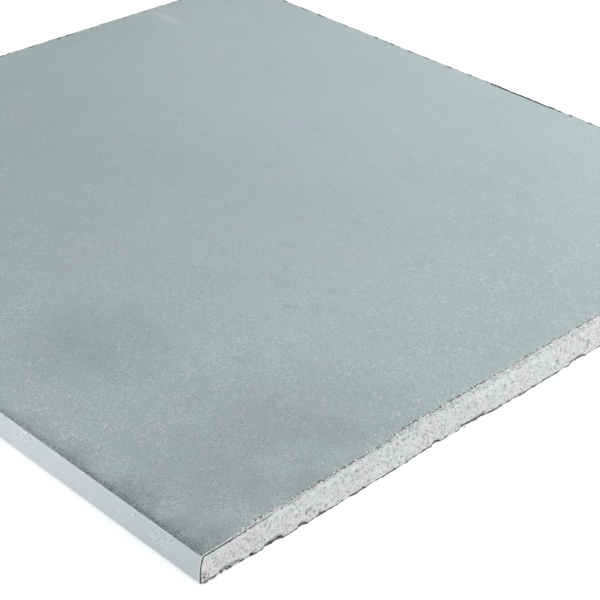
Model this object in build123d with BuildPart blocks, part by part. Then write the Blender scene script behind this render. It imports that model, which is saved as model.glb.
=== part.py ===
# A cut piece of moisture-resistant drywall sheet, lying flat with its face paper up.
# A gypsum core is bonded between a face paper and a back paper. Along one edge, the bound edge,
# the face thins in a taper for the joint filler, and the face paper folds down over the side and
# turns under the core as a flap. The back paper laps over that flap. The other three edges are cut.
# Sizes are in millimetres. X runs along the bound edge, Y across the sheet and Z up, with the origin
# under the middle of the sheet, on its lowest face.
import os

from build123d import *

# The whole piece
length = 370.0
width = 357.0
thickness = 12.5

# The papers
face_paper_thickness = 0.5
back_paper_thickness = 0.45

# The taper of the face towards the bound edge
taper_width = 60.0
taper_depth = 1.5

# The wrapped side of the bound edge: its belly is the outermost line of the sheet
belly_height = 2.5
fold_setback = 1.6
heel_setback = 0.1
fold_radius = 1.3
heel_radius = 0.9

# The turned-under flap, and how far in from the bound edge the back paper starts
flap_width = 28.0
back_paper_setback = 12.0

# Levels and lines that the three pieces share
bound_side = -width / 2
cut_side = width / 2
flap_level = back_paper_thickness
fold_level = thickness - taper_depth
flap_end = bound_side + flap_width
section_plane = Plane.YZ.offset(-length / 2)

# The outside of the face paper in section, from its cut edge over the taper, fold and heel to the flap's end
with BuildLine() as paper_line:
    face = Line((cut_side, thickness), (bound_side + taper_width, thickness))
    taper = Line(face @ 1, (bound_side + fold_setback, fold_level))
    side = ThreePointArc(taper @ 1, (bound_side, belly_height), (bound_side + heel_setback, flap_level))
    Line(side @ 1, (flap_end, flap_level))
    fillet(paper_line.vertices().sort_by_distance(taper @ 1)[0], fold_radius)
    fillet(paper_line.vertices().sort_by_distance(side @ 1)[0], heel_radius)

# The face paper is one sheet of even thickness inside that line
with BuildPart() as face_paper:
    with BuildSketch(section_plane) as paper_section:
        with BuildLine():
            add(paper_line.line)
            offset(amount=face_paper_thickness, side=Side.LEFT)
        make_face()
    extrude(amount=length)
face_paper.part.label = "face_paper"

# The core fills the sheet's section between the papers, and is stepped up over the flap
with BuildPart() as gypsum_core:
    with BuildSketch(section_plane):
        with BuildLine():
            add(paper_line.line)
            Polyline((flap_end, flap_level), (cut_side, back_paper_thickness), (cut_side, thickness))
        make_face()
        add(paper_section.sketch_local, mode=Mode.SUBTRACT)
    extrude(amount=length)
gypsum_core.part.label = "gypsum_core"

# The back paper is flat, from its lap over the flap to the cut edges
with BuildPart() as back_paper:
    with BuildSketch(Plane.XY):
        with Locations((0, cut_side)):
            Rectangle(length, width - back_paper_setback, align=(Align.CENTER, Align.MAX))
    extrude(amount=back_paper_thickness)
back_paper.part.label = "back_paper"

os.makedirs("parts", exist_ok=True)
export_step(gypsum_core.part, "parts/gypsum_core.step")
export_step(face_paper.part, "parts/face_paper.step")
export_step(back_paper.part, "parts/back_paper.step")
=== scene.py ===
import bpy
import numpy as np
from mathutils import Matrix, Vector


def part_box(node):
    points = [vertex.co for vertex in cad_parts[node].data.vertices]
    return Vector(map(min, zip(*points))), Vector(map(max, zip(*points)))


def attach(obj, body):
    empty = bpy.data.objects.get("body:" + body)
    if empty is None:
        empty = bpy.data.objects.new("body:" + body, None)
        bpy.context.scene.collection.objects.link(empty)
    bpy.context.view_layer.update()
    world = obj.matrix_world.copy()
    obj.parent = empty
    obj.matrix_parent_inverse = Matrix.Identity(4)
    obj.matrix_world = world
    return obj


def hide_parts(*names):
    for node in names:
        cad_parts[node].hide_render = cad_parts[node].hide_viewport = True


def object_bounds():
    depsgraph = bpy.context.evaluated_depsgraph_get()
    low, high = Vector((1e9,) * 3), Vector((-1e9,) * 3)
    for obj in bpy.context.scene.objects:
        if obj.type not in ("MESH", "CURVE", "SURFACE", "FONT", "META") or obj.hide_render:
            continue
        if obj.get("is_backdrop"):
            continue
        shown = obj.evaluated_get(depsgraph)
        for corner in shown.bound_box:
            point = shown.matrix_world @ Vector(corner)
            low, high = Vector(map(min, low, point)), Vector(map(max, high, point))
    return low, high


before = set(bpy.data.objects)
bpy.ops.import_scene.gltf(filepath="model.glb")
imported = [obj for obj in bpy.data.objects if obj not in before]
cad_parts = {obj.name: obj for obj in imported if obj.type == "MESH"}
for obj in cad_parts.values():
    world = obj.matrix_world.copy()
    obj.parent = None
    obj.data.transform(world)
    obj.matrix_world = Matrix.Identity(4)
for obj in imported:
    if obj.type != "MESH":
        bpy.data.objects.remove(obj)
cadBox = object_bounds()
print("frame loaded")

# Everything is worked out in millimetres and put into the meshes in metres.
mm = 0.001
_, paperHigh = (np.array(corner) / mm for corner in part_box("face_paper"))
_, coreHigh = (np.array(corner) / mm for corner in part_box("gypsum_core"))
backLow, backHigh = (np.array(corner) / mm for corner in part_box("back_paper"))

sheet = {
    "endX": paperHigh[0],                              # the cut ends are at plus and minus this
    "cutY": paperHigh[1],                              # the cut side across from the bound edge
    "boundY": -paperHigh[1],                           # the belly of the bound edge
    "top": paperHigh[2],
    "facePaper": paperHigh[2] - coreHigh[2],           # thickness of the face paper
    "backPaper": backHigh[2],                          # thickness of the back paper
    "lapY": backLow[1],                                # where the back paper starts
}


# Small helpers for shapes

def latticeNoise(a, b, cell, seed):
    # random numbers from -1 to 1 on a square lattice, blended between its corners by 3t^2 - 2t^3
    table = np.random.default_rng(seed).uniform(-1, 1, (512, 512))
    a, b = np.broadcast_arrays(np.asarray(a, float) / cell, np.asarray(b, float) / cell)
    ia, ib = np.floor(a).astype(int), np.floor(b).astype(int)
    ta, tb = a - ia, b - ib
    ta, tb = ta * ta * (3 - 2 * ta), tb * tb * (3 - 2 * tb)
    corner = lambda da, db: table[(ia + da) % 512, (ib + db) % 512]
    low = corner(0, 0) * (1 - ta) + corner(1, 0) * ta
    high = corner(0, 1) * (1 - ta) + corner(1, 1) * ta
    return low * (1 - tb) + high * tb


def pitField(a, b, cell, radii, depths, share, seed):
    # one round hollow in each lattice cell: depth times (1 - (distance / radius)^2), and where hollows of the
    # 3 by 3 cells round a point overlap, the deepest
    table = np.random.default_rng(seed).uniform(0, 1, (5, 512, 512))
    a, b = np.broadcast_arrays(np.asarray(a, float) / cell, np.asarray(b, float) / cell)
    ia, ib = np.floor(a).astype(int), np.floor(b).astype(int)
    deepest = np.zeros(a.shape)
    for da in (-1, 0, 1):
        for db in (-1, 0, 1):
            draw = table[:, (ia + da) % 512, (ib + db) % 512]
            radius = (radii[0] + (radii[1] - radii[0]) * draw[2] ** 2) / cell
            depth = (depths[0] + (depths[1] - depths[0]) * draw[3]) * (draw[4] < share)
            away = np.hypot(a - ia - da - draw[0], b - ib - db - draw[1]) / radius
            deepest = np.maximum(deepest, depth * np.clip(1 - away ** 2, 0, 1))
    return deepest


def easeStep(low, high, value):
    # 3t^2 - 2t^3 between low and high, 0 before and 1 after
    t = np.clip((value - low) / (high - low), 0, 1)
    return t * t * (3 - 2 * t)


def gridQuads(rows, columns, start=0):
    # the four corners of each cell of a grid of points stored row by row
    index = start + np.arange(rows * columns).reshape(rows, columns)
    cells = np.stack([index[:-1, :-1], index[1:, :-1], index[1:, 1:], index[:-1, 1:]], -1)
    return cells.reshape(-1, 4)


def putMesh(name, points, faces, materials, slots=None, smooth=True, attributes=None):
    # an object at the origin from points in millimetres, with a number at each point for each attribute
    mesh = bpy.data.meshes.new(name)
    mesh.from_pydata((np.asarray(points) * mm).tolist(), [], [list(map(int, face)) for face in faces])
    for material in materials:
        mesh.materials.append(material)
    if slots is not None:
        mesh.polygons.foreach_set("material_index", np.asarray(slots, np.int32))
    mesh.polygons.foreach_set("use_smooth", np.full(len(mesh.polygons), smooth))
    for label, values in (attributes or {}).items():
        mesh.attributes.new(label, "FLOAT", "POINT").data.foreach_set("value", np.asarray(values, np.float32))
    mesh.update()
    piece = bpy.data.objects.new(name, mesh)
    bpy.context.scene.collection.objects.link(piece)
    return piece


# Small helpers for materials

def linear(red, green, blue):
    # a screen colour of 0 to 255 as the linear colour that a shader takes
    screen = np.array([red, green, blue]) / 255
    return tuple(np.where(screen <= 0.04045, screen / 12.92, ((screen + 0.055) / 1.055) ** 2.4)) + (1.0,)


class Nodes:
    # a material's node tree, with one short method for each kind of step
    def __init__(self, name, roughness, specular):
        self.material = bpy.data.materials.new(name)
        self.material.use_nodes = True
        self.tree = self.material.node_tree
        self.shader = self.tree.nodes["Principled BSDF"]
        self.shader.inputs["Roughness"].default_value = roughness
        self.shader.inputs["Specular IOR Level"].default_value = specular
        self.place = self.tree.nodes.new("ShaderNodeTexCoord").outputs["Object"]

    def feed(self, socket, value):
        # a link where the value is another node's socket, and a plain value otherwise
        if isinstance(value, bpy.types.NodeSocket):
            self.tree.links.new(value, socket)
        else:
            socket.default_value = value

    def add(self, kind, settings=None, **values):
        # a new node with its settings and inputs, where i0, i1 and so on are inputs by number
        node = self.tree.nodes.new(kind)
        for key, value in (settings or {}).items():
            setattr(node, key, value)
        for key, value in values.items():
            numbered = key[0] == "i" and key[1:].isdigit()
            self.feed(node.inputs[int(key[1:]) if numbered else key], value)
        return node

    def millimetres(self, scale=(1, 1, 1), turn=(0, 0, 0), move=(0, 0, 0)):
        # object coordinates in millimetres, stretched, then turned, then moved
        node = self.add("ShaderNodeMapping", Vector=self.place)
        node.inputs["Scale"].default_value = [s / mm for s in scale]
        node.inputs["Rotation"].default_value = turn
        node.inputs["Location"].default_value = move
        return node.outputs["Vector"]

    def noise(self, size, detail=3, rough=0.55, vector=None, warp=0.0):
        # soft noise whose lumps are about size millimetres wide
        node = self.add("ShaderNodeTexNoise", Vector=vector or self.millimetres(), Scale=1 / size,
                        Detail=detail, Roughness=rough, Distortion=warp)
        return node.outputs["Fac"]

    def fibres(self, length, width, turn, warp=0.6):
        # noise turned first and drawn out after, so that short fibres lie at the angle turn on the sheet; the
        # move gives each turn a part of the noise of its own
        turned = self.millimetres((1, 1, 1), (0, 0, turn), (turn * 9, 0, 0))
        node = self.add("ShaderNodeMapping", Vector=turned, Scale=(1 / length, 1 / width, 1 / width))
        return self.noise(1, 1, 0.5, node.outputs["Vector"], warp)

    def scattered(self, size):
        # distance to the nearest of points strewn about size millimetres apart, in units of size
        node = self.add("ShaderNodeTexVoronoi", Vector=self.millimetres(), Scale=1 / size)
        return node.outputs["Distance"]

    def spread(self, value, low, high, out=(0.0, 1.0)):
        # low to high becomes out, eased at both ends
        node = self.add("ShaderNodeMapRange", {"interpolation_type": "SMOOTHSTEP"}, i0=value, i1=low, i2=high,
                        i3=out[0], i4=out[1])
        return node.outputs[0]

    def math(self, kind, first, second=0.0, third=0.0):
        node = self.add("ShaderNodeMath", {"operation": kind}, i0=first, i1=second, i2=third)
        return node.outputs[0]

    def times(self, product, *others):
        # all of the values multiplied
        for other in others:
            product = self.math("MULTIPLY", product, other)
        return product

    def blend(self, share, first, second):
        # first becomes second by share
        node = self.add("ShaderNodeMix", {"data_type": "RGBA"})
        self.feed(node.inputs[0], share)
        self.feed(node.inputs[6], first)
        self.feed(node.inputs[7], second)
        return node.outputs[2]

    def tint(self, share, colour, tone):
        # the colour so far becomes the screen colour tone by share
        return self.blend(share, colour, linear(*tone))

    def between(self, share, tones):
        # the first of two screen colours becomes the second by share
        return self.tint(share, linear(*tones[0]), tones[1])

    def attribute(self, name):
        return self.add("ShaderNodeAttribute", {"attribute_name": name}).outputs["Fac"]

    def split(self):
        # x, y and z in millimetres
        return self.add("ShaderNodeSeparateXYZ", Vector=self.millimetres()).outputs

    def near(self, place, full, none, alongX=1):
        # 1 within full millimetres of a place, 0 beyond none, and alongX times as far along X
        squeezed = self.millimetres((1 / alongX, 1, 1))
        centre = (place[0] / alongX, place[1], place[2])
        away = self.add("ShaderNodeVectorMath", {"operation": "DISTANCE"}, i0=squeezed, i1=centre)
        return self.spread(away.outputs["Value"], none, full)

    def relief(self, height, depth, before=None):
        # bump whose height of 1 stands depth millimetres proud
        node = self.add("ShaderNodeBump", Height=height, Strength=1.0, Distance=depth * mm)
        if before is not None:
            self.feed(node.inputs["Normal"], before)
        return node.outputs["Normal"]

    def finish(self, colour, normal):
        self.feed(self.shader.inputs["Base Color"], colour)
        self.feed(self.shader.inputs["Normal"], normal)
        return self.material


# The bound edge in section

boundEdge = {
    "taperWidth": 60.0,
    "taperDepth": 1.5,
    "bellyHeight": 2.5,
    "foldSetback": 1.6,
    "heelSetback": 0.1,
    "foldRadius": 1.3,
    "heelRadius": 0.9,
    "flapWidth": 28.0,
}


def circleThrough(a, b, c):
    # centre and radius of the circle through three points: where the halving lines of two chords cross
    rows = 2 * np.array([b - a, c - a])
    centre = np.linalg.solve(rows, [b @ b - a @ a, c @ c - a @ a])
    return centre, np.hypot(*(a - centre))


def wrapParts():
    # the fold, side and heel as three arcs, each a centre, a radius and the angles where it starts and ends
    edge, top, flapLevel = boundEdge, sheet["top"], sheet["backPaper"]
    taperStart = np.array([sheet["boundY"] + edge["taperWidth"], top])
    taperEnd = np.array([sheet["boundY"] + edge["foldSetback"], top - edge["taperDepth"]])
    belly = np.array([sheet["boundY"], edge["bellyHeight"]])
    heel = np.array([sheet["boundY"] + edge["heelSetback"], flapLevel])
    centre, radius = circleThrough(taperEnd, belly, heel)

    def seated(start, along, inside, small):
        # centre of the small arc that touches the line and the side: on the line moved in by small, and
        # radius - small from the centre of the side's arc
        offset = start + inside * small - centre
        half = offset @ along
        reach = -half + np.sqrt(half ** 2 - offset @ offset + (radius - small) ** 2)
        return start + inside * small + along * reach

    along = (taperEnd - taperStart) / np.hypot(*(taperEnd - taperStart))
    inside = np.array([-along[1], along[0]])
    foldCentre = seated(taperStart, along, inside, edge["foldRadius"])
    flapStart, outward, upward = np.array([[0.0, flapLevel], [-1.0, 0.0], [0.0, 1.0]])
    heelCentre = seated(flapStart, outward, upward, edge["heelRadius"])
    angle = lambda vector: np.arctan2(vector[1], vector[0]) % (2 * np.pi)
    foldOut, heelIn = angle(foldCentre - centre), angle(heelCentre - centre)
    arcs = [
        (foldCentre, edge["foldRadius"], angle(-inside), foldOut),
        (centre, radius, foldOut, heelIn),
        (heelCentre, edge["heelRadius"], heelIn, 1.5 * np.pi),
    ]
    return taperStart, arcs


taperStart, wrapArcs = wrapParts()


def arcPoints(arc, count, inset):
    # centre + (radius - inset) (cos, sin) of evenly spaced angles
    centre, radius, first, last = arc
    turn = np.linspace(first, last, count)
    return centre + (radius - inset) * np.stack([np.cos(turn), np.sin(turn)], 1), turn


def wrapCurve(counts, inset=0.0):
    # fold, side and heel in one run of (y, z) points, with the angle of the outward normal at each
    runs = [arcPoints(arc, count, inset) for arc, count in zip(wrapArcs, counts)]
    points = np.concatenate([runs[0][0], runs[1][0][1:], runs[2][0][1:]])
    turns = np.concatenate([runs[0][1], runs[1][1][1:], runs[2][1][1:]])
    return points, turns


def faceLevel(y, inset=0.0):
    # height of the face over y: flat, then falling in a straight line over the taper
    slope = boundEdge["taperDepth"] / (boundEdge["taperWidth"] - boundEdge["foldSetback"])
    return sheet["top"] - inset - slope * np.clip(taperStart[0] - y, 0, None)


# How the three cut edges wander

cutEdge = {
    # depths in millimetres, and every: how far apart along the cut the lumps of each kind are
    "paperWander": 0.10,        # slow wave of the paper's cut
    "paperWanderEvery": 23,
    "paperRagged": 0.22,        # short teeth of the paper's cut
    "paperTeethEvery": (2.6, 1.1),
    "calmLength": 16.0,         # the cut is cleaner for this far from the bound edge
    "burrHeight": 0.16,
    "burrEvery": 1.7,
    "lean": 1.05,               # the foot of the cut stands this far out
    "leanEvery": 40,
    "coreWave": 0.22,
    "coreWaveEvery": (11, 4),
    "coreGrain": 0.16,
    "coreGrainEvery": (1.3, 0.7),
    "crumble": 0.9,             # depth of the places where the foot has crumbled away
    "crumbleEvery": 5,
    "backWander": 0.20,
    "backWanderEvery": 9,
    "backRagged": 0.26,
    "backTeeth": 0.14,
    "backTeethEvery": (2.4, 0.9),
    "bruisedAt": 28.0,          # the cut side's edge is darkest at this X, and for bruisedReach each way
    "bruisedReach": 24.0,
}


def torn(alongCut):
    # 0 near the bound edge, easing to 1 from 0.4 to 1.6 calm lengths away, where the cut is less clean
    return easeStep(cutEdge["calmLength"] * 0.4, cutEdge["calmLength"] * 1.6, alongCut)


def footLean(run):
    # how far the foot of the cut stands out: lean times 0.75 plus slow noise of up to 0.5
    return cutEdge["lean"] * (0.75 + 0.5 * latticeNoise(run, 0, cutEdge["leanEvery"], 71))


def crumbledFoot(run):
    # how far the core's foot has crumbled away: the highest parts of a noise, eased in
    return cutEdge["crumble"] * easeStep(0.25, 0.75, latticeNoise(run, 0, cutEdge["crumbleEvery"], 78))


def paperCutWander(alongCut, edgeSeed):
    # a slow wave, plus teeth of two lengths that grow to four times their depth where the cut tore
    c = cutEdge
    along = lambda every, k: latticeNoise(alongCut, 0, every, edgeSeed + k)
    teeth = along(c["paperTeethEvery"][0], 1) + 0.6 * along(c["paperTeethEvery"][1], 2)
    slow = c["paperWander"] * along(c["paperWanderEvery"], 0)
    return slow + c["paperRagged"] * (0.3 + 0.9 * torn(alongCut)) * teeth


def cutOutline(startY, corner, spacing):
    # the three cut edges as one run round a rectangle with small round corners, from the bound edge on the +X
    # end to the bound edge on the -X end: place, outward normal and distance along the run
    endX, cutY = sheet["endX"], sheet["cutY"]
    straight = [cutY - corner - startY, 2 * (endX - corner), cutY - corner - startY]
    bend = corner * np.pi / 2
    lengths = np.cumsum([0, straight[0], bend, straight[1], bend, straight[2]])
    run = np.linspace(0, lengths[-1], int(lengths[-1] / spacing) + 1)
    heading = np.interp(run, lengths, [0, 0, np.pi / 2, np.pi / 2, np.pi, np.pi])
    normal = np.stack([np.cos(heading), np.sin(heading)], 1)
    middleX = np.interp(run, lengths, [endX, endX, endX - corner, corner - endX, -endX, -endX])
    inner = np.array([endX - corner, cutY - corner])
    place = np.empty((len(run), 2))
    leg = np.searchsorted(lengths, run, side="right") - 1
    place[:, 0] = np.select([leg == 0, leg == 1, leg == 2, leg == 3],
                            [np.full(len(run), endX), inner[0] + corner * normal[:, 0], middleX,
                             -inner[0] + corner * normal[:, 0]], -endX)
    place[:, 1] = np.select([leg == 0, leg == 1, leg == 2, leg == 3],
                            [startY + run, inner[1] + corner * normal[:, 1], np.full(len(run), cutY),
                             inner[1] + corner * normal[:, 1]], startY + (lengths[-1] - run))
    fromBound = np.minimum(run, lengths[-1] - run)
    return place, normal, run, fromBound


# Torn fibres and shreds

def shredShapes(outline, kind, seed):
    # closed flat leaves along a cut, one in each of count equal parts of the span. The middle line runs for
    # length along the outline, out from it and up from the floor by amounts that change along the leaf. The
    # section round it is an ellipse of half height half sin(pi u)^0.7 and half thickness thin, curled out
    place, normal, run = outline
    rng = np.random.default_rng(seed)
    count, sections, around = kind["count"], 7, 6
    draw = rng.uniform(0, 1, (8, count, 1))
    between = lambda name, k: kind[name][0] + (kind[name][1] - kind[name][0]) * draw[k]
    u = np.linspace(0.04, 0.96, sections)[None, :]
    length = between("length", 1)
    start, end = kind["span"]
    middle = start + (end - start) * (np.arange(count)[:, None] + 0.2 + 0.6 * draw[0]) / count
    along = middle + length * (u - 0.5)
    half = between("half", 2) * np.sin(np.pi * u) ** 0.7 * (0.8 + 0.4 * rng.uniform(0, 1, (count, sections)))
    bend = kind["bend"] * (draw[5] - 0.3) * (2 * u - 1) ** 2
    out = between("out", 3) + (draw[4] - 0.5) * 0.5 * (u - 0.5) + bend
    up = between("up", 6) + (draw[7] - 0.5) * kind["tilt"] * (2 * u - 1)
    turn = np.linspace(0, 2 * np.pi, around, endpoint=False)
    curl = kind["thin"] * np.cos(turn) - 0.5 * half[..., None] * np.sin(turn)
    away = out[..., None] + curl
    at = lambda values: np.interp(along, run, values)[..., None]
    x, y = (at(place[:, k]) + away * at(normal[:, k]) for k in (0, 1))
    z = np.maximum(up[..., None] + half[..., None] * np.sin(turn), 0.02)
    points = np.stack([x, y, z], -1).reshape(-1, 3)
    index = np.arange(count * sections * around).reshape(count, sections, around)
    side = np.roll(index, -1, 2)
    walls = np.stack([index[:, :-1], index[:, 1:], side[:, 1:], side[:, :-1]], -1).reshape(-1, 4)
    return points, walls.tolist() + index[:, 0].tolist() + index[:, -1, ::-1].tolist()


# Face paper

facePaperSettings = {
    "edgeRows": np.array([0.0, 0.3, 0.7, 1.3, 2.4]),    # rows of points beside a cut
    "spacing": 0.6,                                      # along a cut
    "middleColumns": 19,
    "arcCounts": (9, 20, 7),
    "flapRows": 12,
    "edgeReach": 1.2,                                    # how far in from a cut its wander is felt
    "crush": 0.16,                                       # the knife leaves the cut edge this much thicker
    "endMargin": 8.0,                                    # the wide columns start this far from the cut ends
    "wave": 0.05,                                        # the face isn't quite flat
    "waveEvery": 37,
    "outlineCorner": 1.0,
    "outlineSpacing": 0.5,
    "tufts": {"count": 150, "span": (45, 350), "length": (0.6, 1.9), "half": (0.10, 0.24),
              "out": (-0.25, 0.25), "up": (12.35, 12.62), "bend": 0.3, "tilt": 0.3, "thin": 0.06},
    "flapShreds": {"count": 5, "span": (0.4, 13), "length": (1.4, 2.6), "half": (0.34, 0.52),
                   "out": (0.60, 0.95), "up": (0.60, 1.15), "bend": 0.3, "tilt": 0.5, "thin": 0.12},
}


def dividedStations(stations, spacing):
    # each interval cut into equal pieces no longer than spacing, and the old stations' places in the new list
    counts = np.maximum(1, np.ceil(np.abs(np.diff(stations)) / spacing).astype(int))
    places = np.concatenate([[0], np.cumsum(counts)])
    return np.interp(np.arange(places[-1] + 1), places, stations), places


def paperOutline():
    # place, outward normal and distance along the three cut edges
    s = facePaperSettings
    return cutOutline(sheet["boundY"], s["outlineCorner"], s["outlineSpacing"])[:3]


def facePaperShape():
    # a grid of rows along X and columns down the section: point = section(row) + X(column), moved by the
    # wander of the nearest cut. The first rows, beside the cut side, have many columns, and the others few
    s = facePaperSettings
    inset = s["edgeRows"]
    ends = sheet["endX"]
    middle = np.linspace(s["endMargin"] - ends, ends - s["endMargin"], s["middleColumns"])
    columns = np.concatenate([-ends + inset, middle, (ends - inset)[::-1]])
    dense, at = dividedStations(columns, s["spacing"])

    flat, _ = dividedStations(np.array([sheet["cutY"] - inset[-1], taperStart[0]]), s["spacing"])
    wrap, wrapTurn = wrapCurve(s["arcCounts"])
    taper, _ = dividedStations(np.array([taperStart[0], wrap[0, 0]]), s["spacing"])
    flap = np.linspace(wrap[-1, 0], sheet["boundY"] + boundEdge["flapWidth"], s["flapRows"])[1:]
    sectionY = np.concatenate([flat, taper[1:-1], wrap[:, 0], flap])
    sectionZ = np.concatenate([faceLevel(flat), faceLevel(taper[1:-1]), wrap[:, 1],
                               np.full(len(flap), sheet["backPaper"])])
    taperTurn = np.full(len(taper) - 2, wrapTurn[0])
    flatTurn, flapTurn = np.full(len(flat), np.pi / 2), np.full(len(flap), 1.5 * np.pi)
    turn = np.concatenate([flatTurn, taperTurn, wrapTurn, flapTurn])
    walked = np.concatenate([[0], np.cumsum(np.hypot(np.diff(sectionY), np.diff(sectionZ)))]) + inset[-1]
    fromFold = walked[len(flat) + len(taper) - 2] - walked      # along the paper, positive on the face

    def placed(x, y, z, angle, fromCut, fold):
        # plain points plus the wander and lean of the ends, the wander of the cut side and, along the normal,
        # the burr and the face's wave. Numbers added to a place read another part of the noise
        toEnd = ends - np.abs(x)
        endFade, sideFade = np.exp(-(toEnd / s["edgeReach"]) ** 2), np.exp(-(fromCut / s["edgeReach"]) ** 2)
        seed = np.where(x > 0, 0, 1)
        away = np.abs(fold)
        fromBound = y - sheet["boundY"]
        run = np.where(x > 0, fromBound, outlineLength - fromBound)
        lean = footLean(run) * (1 - z / sheet["top"]).clip(0) ** 1.4
        wanderEnd = np.where(x > 0, paperCutWander(away, 21), paperCutWander(away, 31))
        wanderSide = paperCutWander(ends - x + 400, 41)
        nearest = np.minimum(toEnd, fromCut)
        alongBurr = np.where(toEnd < fromCut, away + seed * 900, x + 2000)
        ridge = np.exp(-((nearest - 0.3) / 0.35) ** 2)
        burr = cutEdge["burrHeight"] * ridge
        burr = burr * (0.6 + 0.6 * latticeNoise(alongBurr, 0, cutEdge["burrEvery"], 51))
        wave = s["wave"] * latticeNoise(x, away, s["waveEvery"], 52)
        lift = burr + wave * np.clip(nearest / 20, 0, 1) * (fold > 3)
        normalY, normalZ = np.cos(angle), np.sin(angle)
        points = np.stack([x + np.sign(x) * (wanderEnd + lean) * endFade,
                           y + wanderSide * sideFade + lift * normalY,
                           z + lift * normalZ], -1)
        normals = np.stack([np.zeros_like(x), normalY, normalZ], -1)
        bruised = 0.35 + 0.65 * np.exp(-((x - cutEdge["bruisedAt"]) / cutEdge["bruisedReach"]) ** 4)
        onEnd = toEnd < fromCut
        marks = {
            "fromCut": nearest,
            "fromFold": fold,
            "torn": np.where(onEnd, torn(away) * np.where(x > 0, 1.0, 0.3), 0.2),
            "dark": np.where(onEnd, np.where(x > 0, 0.0, 0.3), bruised),
        }
        return points, normals, marks

    denseX, denseInset = np.meshgrid(dense, inset)
    level = np.full(denseX.shape, sheet["top"])
    upright = np.full(denseX.shape, np.pi / 2)
    faceLength = walked[len(flat) + len(taper) - 2]
    outlineLength = paperOutline()[2][-1]
    band = placed(denseX, sheet["cutY"] - denseInset, level, upright, denseInset, faceLength - denseInset)
    gridX, gridY = np.meshgrid(columns, sectionY[1:])
    gridZ, gridTurn = np.meshgrid(columns, sectionZ[1:])[1], np.meshgrid(columns, turn[1:])[1]
    gridCut, gridFold = np.meshgrid(columns, walked[1:])[1], np.meshgrid(columns, fromFold[1:])[1]
    body = placed(gridX, gridY, gridZ, gridTurn, gridCut, gridFold)

    outside = np.concatenate([band[0].reshape(-1, 3), body[0].reshape(-1, 3)])
    normals = np.concatenate([band[1].reshape(-1, 3), body[1].reshape(-1, 3)])
    marks = {label: np.concatenate([band[2][label].ravel(), body[2][label].ravel()]) for label in band[2]}

    rows, wide = len(inset), len(dense)
    first = rows * wide
    lastDense = (rows - 1) * wide
    count = len(columns)
    faces = gridQuads(rows, wide).tolist() + gridQuads(len(sectionY) - 1, count, first).tolist()
    for k in range(count - 1):        # one many-sided face from each wide cell to the small ones beside it
        between = np.arange(at[k + 1], at[k], -1) + lastDense
        faces.append([lastDense + at[k], first + k, first + k + 1] + between.tolist())
    bodyIndex = first + np.arange((len(sectionY) - 1) * count).reshape(-1, count)
    bandIndex = np.arange(first).reshape(rows, wide)
    rim = np.concatenate([bandIndex[0, ::-1], bandIndex[1:, 0], bodyIndex[:, 0], bodyIndex[-1, 1:],
                          bodyIndex[-2::-1, -1], bandIndex[:0:-1, -1]])
    return outside, normals, faces, rim, marks


def thickened(outside, normals, faces, rim, thickness, bulge):
    # the sheet's inside is the outside moved in along its normals by thickness, given for each point,
    # and its rim has one more row, halfway between the two, that stands out by bulge
    size = len(outside)
    inside = outside - normals * thickness[:, None]
    middle = (outside[rim] + inside[rim]) / 2
    side = np.roll(middle, -1, 0) - np.roll(middle, 1, 0)
    out = np.cross(normals[rim], side)
    out /= np.maximum(np.linalg.norm(out, axis=1, keepdims=True), 1e-9)
    grain = latticeNoise(np.arange(len(rim)) * 0.5, 0, 1.0, 61)
    middle = middle - out * (bulge * (0.5 + grain))[:, None]
    points = np.concatenate([outside, inside, middle])
    turned = [[size + corner for corner in face[::-1]] for face in faces]
    upper, centre, lower = rim, 2 * size + np.arange(len(rim)), rim + size
    walls = []
    for above, below in ((upper, centre), (centre, lower)):
        walls += np.stack([above, below, np.roll(below, -1), np.roll(above, -1)], 1).tolist()
    return points, faces + turned, walls


facePaperTones = {
    "clouds": ((165, 180, 180), (171, 186, 186)),
    "bluish": (171, 182, 187),
    "mottle": (158, 173, 172),
    "paleSpecks": (202, 213, 212),
    "darkSpecks": (122, 138, 137),
    "fibreTurns": (0.3, 1.1, 1.9, 2.7),
    "paleFibres": (216, 226, 225),
    "darkFibres": (124, 139, 138),
    "calmPlace": ((-60, 120, 12), 120, 320),            # half the specks and fibres here
    "patches": [
        # place, full within, none beyond, strength (uneven where it is None), tone
        ((175, -125, 12), 10, 85, None, (116, 126, 128)),       # darker towards the near corner
        # painted shade: a broad darker tone towards the near left, where the light is weaker
        ((-60, -60, 12), 60, 220, 0.15, (150, 170, 173)),
        ((70, -122, 12), 8, 42, None, (128, 148, 148)),
        # painted light: a broad paler tone towards the far side, where the light is stronger
        ((-80, 140, 12), 40, 170, 0.35, (181, 195, 199)),
    ],
    "smearPlace": ((-168, 111, 12), 0.3, 4.5, 4),       # by the far end, and four times as long along X
    "smear": (200, 207, 206),
    "foldBandCloud": (114, 124, 123),
    "foldBandSeam": (106, 114, 112),
    "foldBandGrains": (90, 99, 97),
    # paler than the face: partly stretched paper, partly painted light for the stronger light on the side
    "side": ((209, 215, 218), (201, 213, 213)),
    "sidePatches": (215, 220, 222),
    "foldHighlight": (224, 229, 230),
    "paleFoldFlecks": (238, 243, 243),
    "scuffPlace": ((165, -178, 9.4), 4, 9),
    "paleScuffs": (232, 238, 238),
    "darkScuffs": (140, 150, 150),
    "paintedSideShadePlace": ((190, -178, 6), 10, 100),
    "paintedSideShade": (170, 183, 184),
    "dentPlace": ((152.3, -178, 9.2), 0.2, 0.8),
    "dent": (118, 128, 128),
    "dentHighlightPlace": ((151.2, -178, 8.6), 0.2, 0.8),
    "dentHighlight": (226, 232, 232),
    "core": ((214, 216, 215), (132, 138, 135)),
    "paleCore": (241, 242, 241),
    "bruise": (230, 235, 232),
    "tornShadows": (84, 92, 89),
    "cutLine": (58, 68, 68),
}


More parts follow.
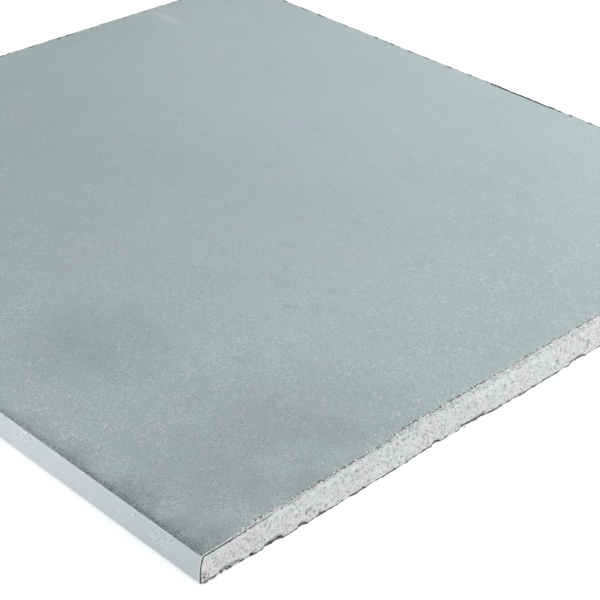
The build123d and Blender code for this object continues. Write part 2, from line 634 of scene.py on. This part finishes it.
def paperGround(n, tones):
    # slow clouds of tone and of hue, then mottle, then specks and short fibres gathered in patches
    clouds = n.spread(n.noise(70, 2), 0.35, 0.65, (0.2, 0.8))
    colour = n.between(clouds, tones["clouds"])
    colour = n.tint(n.spread(n.noise(26, 3), 0.52, 0.72, (0.0, 0.8)), colour, tones["bluish"])
    colour = n.tint(n.spread(n.noise(9, 3), 0.55, 0.75, (0.0, 0.5)), colour, tones["mottle"])
    patch = n.spread(n.noise(8, 2, 0.6), 0.40, 0.62, (0.5, 1.0))
    patch = n.times(patch, n.math("MULTIPLY_ADD", n.near(*tones["calmPlace"]), -0.5, 1.0))
    specks = n.noise(0.50, 2, 0.5)
    colour = n.tint(n.times(n.spread(specks, 0.54, 0.70, (0.0, 0.8)), patch), colour, tones["paleSpecks"])
    colour = n.tint(n.times(n.spread(specks, 0.46, 0.30, (0.0, 0.7)), patch), colour, tones["darkSpecks"])
    for turn in tones["fibreTurns"]:
        fibre = n.fibres(1.5, 0.44, turn)
        colour = n.tint(n.times(n.spread(fibre, 0.64, 0.70, (0.0, 0.6)), patch), colour, tones["paleFibres"])
        colour = n.tint(n.times(n.spread(fibre, 0.35, 0.29, (0.0, 0.4)), patch), colour, tones["darkFibres"])
    return colour


def paperPatches(n, tones, colour):
    # dull and pale patches, each strongest at its place, one of them painted shade and one painted light, and
    # a pale smear
    uneven = n.spread(n.noise(25, 3), 0.3, 0.7, (0.1, 0.4))
    for place, full, none, strength, tone in tones["patches"]:
        colour = n.tint(n.times(n.near(place, full, none), strength or uneven), colour, tone)
    smear = n.times(n.near(*tones["smearPlace"]), n.spread(n.noise(3, 2), 0.2, 0.6, (0.3, 0.7)))
    return n.tint(smear, colour, tones["smear"])


def foldDarkBand(n, tones, colour, fold):
    # a darker band just above the fold that grows towards the near corner: a soft cloud, a thin dark seam,
    # and grains that thin out away from the fold, all by the distance from the fold over their reach
    corner = n.spread(n.split()[0], 60.0, 160.0, (0.45, 1.0))
    above = n.spread(fold, -1.11, -0.86)
    bandPatchiness = n.spread(n.noise(4, 3, 0.6), 0.30, 0.62, (0.35, 1.0))
    slow = n.noise(17, 2, 0.5, n.millimetres((1, 0.1, 0.1)))
    away = n.math("DIVIDE", fold, n.times(n.spread(slow, 0.32, 0.68, (1.6, 6.0)), corner))
    far, near = n.spread(away, 3.6, 0.2, (0.0, 0.45)), n.spread(away, 1.2, -0.2)
    colour = n.tint(n.times(far, above, corner, bandPatchiness), colour, tones["foldBandCloud"])
    close = n.spread(fold, 2.6, -0.6, (0.0, 0.35))
    colour = n.tint(n.times(close, above, bandPatchiness, corner), colour, tones["foldBandSeam"])
    grains = n.math("MULTIPLY_ADD", near, 0.18, n.noise(0.62, 2, 0.55))
    grains = n.times(n.spread(grains, 0.60, 0.76, (0.0, 0.7)), n.spread(near, 0.0, 0.3))
    grains = n.times(grains, n.spread(corner, 0.0, 1.0, (0.3, 1.0)), above)
    return n.tint(grains, colour, tones["foldBandGrains"])


def wrappedSide(n, tones, fold):
    # the side's paper: paler, partly stretched paper and partly painted light; a painted highlight along the
    # fold, pale flecks, scuffs, painted shade towards the near corner, and a dent in painted shade and
    # highlight
    side = n.between(n.spread(n.noise(13, 2), 0.45, 0.70), tones["side"])
    side = n.tint(n.spread(n.noise(5, 2, 0.5), 0.5, 0.75, (0.0, 0.6)), side, tones["sidePatches"])
    # painted highlight where the edge of the fold catches the light
    side = n.tint(n.spread(fold, -2.8, -0.9, (0.0, 0.45)), side, tones["foldHighlight"])
    # pale flecks just under the fold
    paleFoldFlecks = n.times(n.spread(n.noise(1.5, 2), 0.58, 0.64), n.spread(fold, -1.9, -1.1), 0.8)
    side = n.tint(paleFoldFlecks, side, tones["paleFoldFlecks"])
    scuffed = n.math("MAXIMUM", n.spread(n.noise(11, 1), 0.64, 0.72), n.near(*tones["scuffPlace"]))
    crease = n.noise(0.8, 2, 0.5)
    side = n.tint(n.times(scuffed, n.spread(crease, 0.51, 0.60, (0.0, 0.8))), side, tones["paleScuffs"])
    side = n.tint(n.times(scuffed, n.spread(crease, 0.43, 0.35, (0.0, 0.6))), side, tones["darkScuffs"])
    # painted shade: the side darker towards the near corner, where the light falls off
    side = n.tint(n.times(n.near(*tones["paintedSideShadePlace"]), 0.35), side, tones["paintedSideShade"])
    # a dent drawn in colour only: painted shade in its hollow and a painted highlight on its edge
    side = n.tint(n.near(*tones["dentPlace"]), side, tones["dent"])
    return n.tint(n.near(*tones["dentHighlightPlace"]), side, tones["dentHighlight"])


def besideCuts(n, tones, colour, fromCut):
    # where the paper tore right off, the core shows in a strip beside the cut that widens away from the bound
    # edge, with a broken dark line at its border. past is the distance from the cut less the strip's width
    tornShare, dark = n.attribute("torn"), n.attribute("dark")
    bare = n.spread(tornShare, 0.4, 0.9)
    peeled = n.spread(n.split()[1], -98.0, -72.0, (-0.85, 0.9))
    peeled = n.math("MULTIPLY_ADD", n.noise(6, 2, 0.6), 1.5, peeled)
    peeled = n.math("MULTIPLY_ADD", n.noise(1.3, 3, 0.65), 2.0, peeled)
    past = n.math("SUBTRACT", fromCut, n.times(peeled, bare))
    strip = n.times(n.spread(past, 0.10, -0.10), bare)
    chalk = n.noise(0.8, 3, 0.65)
    core = n.between(n.spread(chalk, 0.46, 0.38, (0.0, 0.9)), tones["core"])
    core = n.tint(n.spread(chalk, 0.54, 0.62, (0.0, 0.9)), core, tones["paleCore"])
    colour = n.blend(n.times(strip, 0.92), colour, core)
    # the knife has bruised the paper pale beside its cut, and where it tore, dark and pale flecks mix
    width = n.math("MULTIPLY_ADD", tornShare, n.noise(3.5, 2), 0.70)
    beside = n.spread(n.math("DIVIDE", past, width), 1.0, 0.6)
    beside = n.times(beside, n.math("MULTIPLY_ADD", strip, -0.6, 1.0))
    gaps = n.math("MULTIPLY_ADD", tornShare, 0.06, 0.465)
    bruise = n.spread(n.math("SUBTRACT", n.noise(0.8, 3, 0.6), gaps), -0.05, 0.05)
    bruise = n.times(beside, bruise, n.spread(dark, 0.5, 0.1, (0.25, 1.0)))
    colour = n.tint(bruise, colour, tones["bruise"])
    shadows = n.times(beside, tornShare, n.spread(n.noise(0.7, 2, 0.6), 0.50, 0.40), 0.9)
    colour = n.tint(shadows, colour, tones["tornShadows"])
    border = n.spread(n.math("ABSOLUTE", n.math("SUBTRACT", past, 0.15)), 0.50, 0.25)
    border = n.times(border, bare, n.spread(n.noise(1.5, 2), 0.49, 0.55), 0.85)
    colour = n.tint(border, colour, tones["tornShadows"])
    # a dark broken line along the cut side
    dashes = n.noise(1.6, 2, 0.6, n.millimetres((0.35, 0.35, 1)))
    dashes = n.spread(n.math("MULTIPLY_ADD", dark, 0.36, dashes), 0.64, 0.78)
    line = n.times(dashes, n.spread(fromCut, 1.7, 1.2), n.spread(dark, 0.1, 0.3))
    return n.tint(line, colour, tones["cutLine"])


def facePaperMaterial():
    # the face above the fold, the paler side below it (paler partly as painted light), and what the cuts did
    # over both
    n = Nodes("facePaper", 0.86, 0.30)
    tones = facePaperTones
    fold = n.attribute("fromFold")
    colour = paperPatches(n, tones, paperGround(n, tones))
    colour = foldDarkBand(n, tones, colour, fold)
    side = n.spread(n.math("MULTIPLY_ADD", n.noise(0.9, 2), 0.5, fold), -0.66, -0.88)
    colour = n.blend(side, colour, wrappedSide(n, tones, fold))
    colour = besideCuts(n, tones, colour, n.attribute("fromCut"))
    return n.finish(colour, n.relief(n.noise(6, 2), 0.10, n.relief(n.noise(0.45, 4, 0.7), 0.05)))


paperSectionTones = {
    "pliesAndFootShade": ((52, 61, 57), (82, 90, 86)),
    "flecks": ((206, 210, 205), (222, 224, 223)),        # where the plies are whole, and where they tore off
}


def paperSectionMaterial():
    # dark plies seen on edge, with pale fibres standing out where the cut tore, and the core's tone where the
    # paper tore right off. On the paper torn at the foot and its shreds, the dark is partly painted shade
    # under the sheet
    n = Nodes("paperSection", 0.95, 0.12)
    tones = paperSectionTones
    tornShare = n.attribute("torn")
    colour = n.between(n.spread(n.noise(2.2, 3), 0.35, 0.65), tones["pliesAndFootShade"])
    small, large = n.spread(n.noise(0.6, 3, 0.7), 0.50, 0.60), n.spread(n.noise(2.6, 3, 0.6), 0.48, 0.54)
    flecks = n.times(n.math("MAXIMUM", small, large), n.math("MULTIPLY_ADD", tornShare, 0.80, 0.06))
    bare = n.times(n.spread(tornShare, 0.5, 0.9), n.spread(n.split()[1], -155.0, -110.0, (0.3, 0.95)))
    chalk = n.spread(n.noise(0.9, 3, 0.65), 0.38, 0.48, (0.2, 1.0))
    flecks = n.math("MAXIMUM", flecks, n.times(bare, chalk))
    colour = n.blend(flecks, colour, n.between(bare, tones["flecks"]))
    return n.finish(colour, n.relief(n.noise(0.3, 3), 0.08))


def buildFacePaper():
    outside, normals, faces, rim, marks = facePaperShape()
    crushed = facePaperSettings["crush"] * np.exp(-(marks["fromCut"] / 0.5) ** 2)
    points, skin, walls = thickened(outside, normals, faces, rim, sheet["facePaper"] + crushed, 0.10)
    slots = [0] * len(skin) + [1] * len(walls)
    attributes = {label: np.concatenate([values, values, values[rim]]) for label, values in marks.items()}
    outline = paperOutline()
    # the flap's shreds by the foot take the dark section colour, partly painted shade under the sheet
    shredMarks = (("tufts", 0, {"fromCut": 0.3, "fromFold": 100.0}), ("flapShreds", 1, {"torn": 0.4}))
    for kind, slot, marked in shredMarks:
        shreds, shredFaces = shredShapes(outline, facePaperSettings[kind], 55)
        walls += [[len(points) + corner for corner in face] for face in shredFaces]
        slots += [slot] * len(shredFaces)
        points = np.concatenate([points, shreds])
        for label in attributes:
            attributes[label] = np.append(attributes[label], np.full(len(shreds), marked.get(label, 0.0)))
    materials = [facePaperMaterial(), paperSectionMaterial()]
    piece = putMesh("facePaperSheet", points, skin + walls, materials, slots, attributes=attributes)
    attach(piece, "root")
    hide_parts("face_paper")
    print("face paper made,", len(points), "points")


# Gypsum core

coreSettings = {
    "spacing": 0.45,
    "corner": 1.0,
    "arcCounts": (5, 23, 4),
    "bubbles": {"cell": 1.5, "radii": (0.30, 0.90), "depths": (0.15, 0.75), "share": 0.6},
    "hollows": {"cell": 6.0, "radii": (0.8, 2.2), "depths": (0.15, 0.60), "share": 0.35},
    "hollowest": 0.6,                                    # a hollow this deep has the full painted shade
    "capMargin": 4.0,                                    # strips of the caps end this far from the cut side
}


def coreRelief(run, height, fromBound):
    # outward: lean + waves + grain - bubbles - hollows - crumbled foot, calmer by the bound edge and the top
    c = cutEdge
    lean = footLean(run) * (1 - height / sheet["top"]) ** 1.4
    slow, quick = (latticeNoise(run, height, every, 72 + k) for k, every in enumerate(c["coreWaveEvery"]))
    coarse, fine = (latticeNoise(run, height, every, 74 + k) for k, every in enumerate(c["coreGrainEvery"]))
    wave, grain = c["coreWave"] * (slow + 0.6 * quick), c["coreGrain"] * (coarse + 0.5 * fine)
    bubbles = pitField(run, height, seed=76, **coreSettings["bubbles"])
    hollows = pitField(run, height, seed=77, **coreSettings["hollows"])
    rough = 0.7 + 0.3 * torn(fromBound)
    crumbled = crumbledFoot(run) * easeStep(2.4, 0.4, height)
    nearTop = easeStep(0.0, 1.2, sheet["top"] - sheet["facePaper"] - height)
    taken = (bubbles + hollows) * rough * nearTop + crumbled
    return lean + (wave + grain) * rough * (0.3 + 0.7 * nearTop) - taken, taken


def gypsumCoreShape():
    # columns of points from the foot to the face, all round the sheet: each column is the inside of the
    # wrapped edge, drawn out to its own place and stretched to the height of the core there
    s = coreSettings
    place, normal, run, fromBound = cutOutline(sheet["boundY"], s["corner"], s["spacing"])
    wrap, _ = wrapCurve(s["arcCounts"], sheet["facePaper"])
    wrap = wrap[::-1]
    share = (wrap[:, 1] - wrap[0, 1]) / (wrap[-1, 1] - wrap[0, 1])
    startY = wrap[:, 0]
    legLength = sheet["cutY"] - s["corner"] - sheet["boundY"]
    remaining = np.clip(1 - (place[:, 1] - sheet["boundY"]) / legLength, 0, 1)
    inward = (startY - sheet["boundY"])[None, :] * remaining[:, None]
    y = place[:, 1][:, None] + inward
    x = np.repeat(place[:, 0][:, None], len(share), 1)
    flapEnd = sheet["boundY"] + boundEdge["flapWidth"]
    foot = sheet["backPaper"] + sheet["facePaper"] * (y[:, :1] < flapEnd)
    head = faceLevel(y[:, -1:], sheet["facePaper"])
    z = foot + share[None, :] * (head - foot)
    relief, taken = coreRelief(run[:, None], z, fromBound[:, None])
    toPaper = np.minimum(head - z, np.where(y < flapEnd, np.abs(y - startY[None, :]), 9.0))
    x = x + relief * normal[:, :1]
    y = y + relief * normal[:, 1:]
    columns, rows = x.shape
    points = np.stack([x, y, z], -1).reshape(-1, 3)
    faces = gridQuads(columns, rows).tolist()
    index = np.arange(columns * rows).reshape(columns, rows)
    faces.append(np.concatenate([index[0], index[-1][::-1]]).tolist())      # the plain side behind the wrap
    return points, faces, index, {
        "toPaper": toPaper.ravel(),
        "hollow": taken.ravel() / s["hollowest"],
        "torn": np.repeat(torn(fromBound), len(share)),
    }


gypsumTones = {
    "chalk": ((217, 216, 218), (213, 221, 218)),        # white, with faint green patches
    "denseBand": (227, 228, 227),                        # under the paper
    "darkGrainsAndPitShade": (140, 145, 142),
    "paleGrains": (241, 242, 241),
    "pinholeShade": (112, 116, 113),
    "hollows": (138, 142, 140),
    "dustPlace": ((185, -177, 1.8), 0.8, 3.2),           # pressed into the heel of the near corner
    "dust": (92, 98, 95),
    "plyAndGapShade": (74, 80, 77),
}


def gypsumMaterial():
    # chalk with a denser band under the paper, then grains partly in painted shade, pinholes and hollows in
    # painted shade, dust, and the ply's remains with painted shade of the gap under the paper
    n = Nodes("gypsum", 0.92, 0.20)
    tones = gypsumTones
    toPaper, hollow, tornShare = (n.attribute(name) for name in ("toPaper", "hollow", "torn"))
    colour = n.between(n.spread(n.noise(7, 3, 0.6), 0.44, 0.60), tones["chalk"])
    colour = n.tint(n.spread(toPaper, 2.2, 0.8, (0.0, 0.5)), colour, tones["denseBand"])
    # grains of two sizes, and fewer dark ones in the dense band; the dark grains sit in the relief's low
    # spots, partly the core's own grain and partly painted shade in its pits
    calmBand = n.spread(toPaper, 0.4, 2.4, (0.35, 1.0))
    fine, coarse = n.noise(0.55, 3, 0.6), n.noise(1.3, 3, 0.65)
    for grain, dark, pale in ((fine, 0.9, 0.8), (coarse, 0.7, 0.7)):
        darker = n.times(n.spread(grain, 0.45, 0.30, (0.0, dark)), calmBand)
        colour = n.tint(darker, colour, tones["darkGrainsAndPitShade"])
        colour = n.tint(n.spread(grain, 0.56, 0.70, (0.0, pale)), colour, tones["paleGrains"])
    # painted shade: holes too small for the mesh, drawn as dark spots
    holes = n.times(n.spread(n.scattered(1.9), 0.24, 0.10), n.spread(n.noise(5, 2), 0.45, 0.58), 0.8)
    colour = n.tint(holes, colour, tones["pinholeShade"])
    # painted shade in the hollows, darker the deeper they are
    colour = n.tint(n.spread(hollow, 0.15, 1.1, (0.0, 0.6)), colour, tones["hollows"])
    dust = n.times(n.near(*tones["dustPlace"]), n.spread(coarse, 0.55, 0.42))
    colour = n.tint(dust, colour, tones["dust"])
    # what is left of the dark ply next to the paper, with painted shade of the gap under the paper, least of
    # it where the paper tore
    plyAndGapShade = n.spread(n.math("MULTIPLY_ADD", n.noise(0.9, 2), 0.25, toPaper), 0.36, 0.20)
    kept = n.math("MAXIMUM", n.spread(n.noise(2.6, 3, 0.6), 0.56, 0.48), n.spread(tornShare, 0.7, 0.0))
    kept = n.times(kept, n.spread(tornShare, 0.6, 1.0, (1.0, 0.3)))
    colour = n.tint(n.times(plyAndGapShade, kept, 0.9), colour, tones["plyAndGapShade"])
    return n.finish(colour, n.relief(fine, 0.25, n.relief(coarse, 0.35)))


def coreCaps(index):
    # the core's foot and head: strips from one cut end to the other, and one many-sided face by the cut side
    columns, rows = index.shape
    last = int((sheet["cutY"] - sheet["boundY"] - coreSettings["capMargin"]) / coreSettings["spacing"])
    caps = []
    for level in (0, rows - 1):
        ring = index[:, level]
        across = ring[::-1]
        strips = np.stack([ring[:last], ring[1:last + 1], across[1:last + 1], across[:last]], 1)
        cover = ring[last:columns - last]
        if level == 0:
            strips, cover = strips[:, ::-1], cover[::-1]
        caps += strips.tolist() + [cover.tolist()]
    return caps


def buildGypsumCore():
    points, faces, index, attributes = gypsumCoreShape()
    piece = putMesh("gypsumCore", points, faces + coreCaps(index), [gypsumMaterial()], attributes=attributes)
    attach(piece, "root")
    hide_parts("gypsum_core")
    print("gypsum core made,", len(points), "points")


# Back paper

backPaperSettings = {
    "spacing": 0.5,
    "corner": 1.0,
    "rows": 4,
    "nearShreds": {"count": 6, "span": (0, 25), "length": (1.6, 2.8), "half": (0.34, 0.54),
                   "out": (0.55, 0.95), "up": (0.45, 1.05), "bend": 0.3, "tilt": 0.5, "thin": 0.12},
    "farShreds": {"count": 190, "span": (26, 1045), "length": (1.0, 3.2), "half": (0.10, 0.22),
                  "out": (0.35, 0.75), "up": (0.20, 0.60), "bend": 0.3, "tilt": 0.3, "thin": 0.08},
}


def backPaperShape():
    # rings round the sheet from the lower face over the torn rim to the upper face
    s = backPaperSettings
    place, normal, run = cutOutline(sheet["lapY"], s["corner"], s["spacing"])[:3]
    c = cutEdge
    coreRun = run + sheet["lapY"] - sheet["boundY"]
    long, short = (latticeNoise(run, 0, every, 82 + k) for k, every in enumerate(c["backTeethEvery"]))
    edge = footLean(coreRun) - 0.7 * crumbledFoot(coreRun)
    edge = edge + c["backWander"] * latticeNoise(run, 0, c["backWanderEvery"], 81)
    edge = edge + c["backRagged"] * long + c["backTeeth"] * short
    level = np.linspace(0, 1, s["rows"])
    thin = 1 - 0.35 * (2 * level - 1) ** 2
    grain = 0.10 * latticeNoise(run[None, :], level[:, None] * 3, 1.0, 84)
    out = edge[None, :] + 0.12 * (thin - 1)[:, None] + grain
    x = place[None, :, 0] + out * normal[None, :, 0]
    y = place[None, :, 1] + out * normal[None, :, 1]
    z = np.broadcast_to((level * sheet["backPaper"])[:, None], x.shape)
    points = np.stack([x, y, z], -1).reshape(-1, 3)
    index = np.arange(x.size).reshape(x.shape)
    walls = np.stack([index[:-1], index[1:], np.roll(index, -1, 1)[1:], np.roll(index, -1, 1)[:-1]], -1)
    walls = walls.reshape(-1, 4)[:, ::-1].tolist()
    return points, walls, [index[0, ::-1].tolist(), index[-1].tolist()]


backPaperTones = {
    "clouds": ((112, 112, 107), (142, 141, 134)),
    "fibreTurns": (0.2, 1.7),
    "paleFibres": (170, 168, 160),
    "darkFibres": (86, 86, 81),
}


def backPaperMaterial():
    # soft clouds under coarse pale and dark fibres that lie two ways
    n = Nodes("backPaper", 0.90, 0.20)
    tones = backPaperTones
    colour = n.between(n.noise(18, 4, 0.6), tones["clouds"])
    for turn in tones["fibreTurns"]:
        fibre = n.fibres(2.8, 0.45, turn)
        colour = n.tint(n.spread(fibre, 0.62, 0.74, (0.0, 0.4)), colour, tones["paleFibres"])
        colour = n.tint(n.spread(fibre, 0.36, 0.26, (0.0, 0.4)), colour, tones["darkFibres"])
    return n.finish(colour, n.relief(n.noise(0.5, 4, 0.7), 0.06))


def buildBackPaper():
    points, walls, covers = backPaperShape()
    outline = cutOutline(sheet["lapY"], backPaperSettings["corner"], backPaperSettings["spacing"])[:3]
    # the torn rim and the near shreds take the dark section colour, partly painted shade under the sheet's
    # foot
    slots = [1] * len(walls) + [0] * len(covers)
    for kind, slot in (("nearShreds", 1), ("farShreds", 0)):
        shreds, shredFaces = shredShapes(outline, backPaperSettings[kind], 85)
        covers += [[len(points) + corner for corner in face] for face in shredFaces]
        slots += [slot] * len(shredFaces)
        points = np.concatenate([points, shreds])
    materials = [backPaperMaterial(), paperSectionMaterial()]
    piece = putMesh("backPaperSheet", points, walls + covers, materials, slots, smooth=False)
    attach(piece, "root")
    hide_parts("back_paper")
    print("back paper made,", len(points), "points")


# Camera, light and floor

cameraSettings = {
    "place": (497.8, -452.6, 360.0),       # in millimetres
    "azimuth": 44.66,
    "elevation": 31.20,
    "roll": 1.75,
    "focalPixels": 1677.0,
    "imagePixels": 600.0,
    "sensor": 36.0,
}


def placeCamera():
    # looks back along azimuth and elevation, then rolled; lens = focal pixels / image pixels * sensor width
    s = cameraSettings
    azimuth, elevation, roll = np.radians([s["azimuth"], s["elevation"], s["roll"]])
    level = np.cos(elevation)
    back = np.array([np.sin(azimuth) * level, -np.cos(azimuth) * level, np.sin(elevation)])
    right = np.array([np.cos(azimuth), np.sin(azimuth), 0.0])
    up = np.cross(back, right)
    right, up = np.cos(roll) * right + np.sin(roll) * up, np.cos(roll) * up - np.sin(roll) * right
    camera = bpy.data.objects.new("camera", bpy.data.cameras.new("camera"))
    bpy.context.scene.collection.objects.link(camera)
    turn = np.eye(4)
    turn[:3, 0], turn[:3, 1], turn[:3, 2], turn[:3, 3] = right, up, back, np.array(s["place"]) * mm
    camera.matrix_world = Matrix(turn.tolist())
    camera.data.sensor_width = s["sensor"]
    camera.data.lens = s["focalPixels"] / s["imagePixels"] * s["sensor"]
    camera.data.clip_start = 0.01
    bpy.context.scene.camera = camera


lightSettings = {
    "skyStrength": 0.40,
    "lamps": {
        # name: (place, aimed at, size, watts)
        "frontLeft": ((-0.80, -1.05, 0.26), (-0.10, -0.18, 0.0), 0.45, 9.8),
        "backRight": ((0.30, 0.55, 0.45), (0.10, 0.18, 0.0), 0.5, 3.85),
        "cutEnd": ((0.90, -0.18, 0.25), (0.18, -0.03, 0.0), 0.4, 2.20),
    },
}


def placeLamps():
    # round area lamps that the camera doesn't see, each turned to face its aim
    for name, (place, aim, size, watts) in lightSettings["lamps"].items():
        lamp = bpy.data.objects.new(name, bpy.data.lights.new(name, "AREA"))
        lamp.data.shape = "DISK"
        lamp.data.size = size
        lamp.data.energy = watts
        lamp.visible_camera = False
        back = np.array(place) - np.array(aim)
        back /= np.linalg.norm(back)
        right = np.cross([0.0, 0.0, 1.0], back)
        right /= np.linalg.norm(right)
        turn = np.eye(4)
        turn[:3, 0], turn[:3, 1], turn[:3, 2], turn[:3, 3] = right, np.cross(back, right), back, place
        bpy.context.scene.collection.objects.link(lamp)
        lamp.matrix_world = Matrix(turn.tolist())


def whiteShare(tree):
    # 1 for rays from the camera, from gloss and through glass, which should meet plain white
    path = tree.nodes.new("ShaderNodeLightPath")
    most = path.outputs["Is Camera Ray"]
    for ray in ("Is Glossy Ray", "Is Transmission Ray"):
        node = tree.nodes.new("ShaderNodeMath")
        node.operation = "MAXIMUM"
        tree.links.new(most, node.inputs[0])
        tree.links.new(path.outputs[ray], node.inputs[1])
        most = node.outputs[0]
    return most


def makeSky():
    # plain light from all round at skyStrength, and plain white where it is seen
    world = bpy.data.worlds.new("studio")
    bpy.context.scene.world = world
    world.use_nodes = True
    tree = world.node_tree
    strength = tree.nodes.new("ShaderNodeMapRange")
    tree.links.new(whiteShare(tree), strength.inputs[0])
    strength.inputs[3].default_value = lightSettings["skyStrength"]
    strength.inputs[4].default_value = 1.0
    tree.links.new(strength.outputs[0], tree.nodes["Background"].inputs["Strength"])
    tree.nodes["Background"].inputs["Color"].default_value = (1, 1, 1, 1)


floorSettings = {
    "size": 6.0,
    "below": 0.02,                  # millimetres under the sheet
    "colour": (236, 237, 238),
    "lift": 0.46,                   # white added near the sheet, so that its shadow still shows
    "farLift": 1.0,
    "liftFrom": 0.35,               # metres from the middle
    "liftTo": 1.1,
}


def makeFloor():
    # pale and matt; a little white is added for the camera, so that lit floor is white and shaded floor isn't
    corners = np.array([[-0.5, -0.5, 0.0], [0.5, -0.5, 0.0], [0.5, 0.5, 0.0], [-0.5, 0.5, 0.0]])
    corners = corners * floorSettings["size"] / mm - np.array([0.0, 0.0, floorSettings["below"]])
    material = bpy.data.materials.new("floor")
    material.use_nodes = True
    tree = material.node_tree
    shader = tree.nodes["Principled BSDF"]
    shader.inputs["Base Color"].default_value = linear(*floorSettings["colour"])
    shader.inputs["Roughness"].default_value = 1.0
    shader.inputs["Specular IOR Level"].default_value = 0.0
    shader.inputs["Emission Color"].default_value = (1, 1, 1, 1)
    away = tree.nodes.new("ShaderNodeVectorMath")
    away.operation = "LENGTH"
    tree.links.new(tree.nodes.new("ShaderNodeTexCoord").outputs["Object"], away.inputs[0])
    lift = tree.nodes.new("ShaderNodeMapRange")
    lift.interpolation_type = "SMOOTHSTEP"
    tree.links.new(away.outputs["Value"], lift.inputs[0])
    for k, name in enumerate(("liftFrom", "liftTo", "lift", "farLift")):
        lift.inputs[k + 1].default_value = floorSettings[name]
    scale = tree.nodes.new("ShaderNodeMath")
    scale.operation = "MULTIPLY"
    tree.links.new(whiteShare(tree), scale.inputs[0])
    tree.links.new(lift.outputs[0], scale.inputs[1])
    tree.links.new(scale.outputs[0], shader.inputs["Emission Strength"])
    floor = putMesh("floor", corners, [[0, 1, 2, 3]], [material])
    floor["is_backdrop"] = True


bpy.context.scene.view_settings.view_transform = "Standard"
placeCamera()
print("camera placed")
buildGypsumCore()
buildFacePaper()
buildBackPaper()
placeLamps()
makeSky()
makeFloor()
print("light and floor made")

{"cad": [list(corner) for corner in cadBox], "visual": [list(corner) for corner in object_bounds()]}
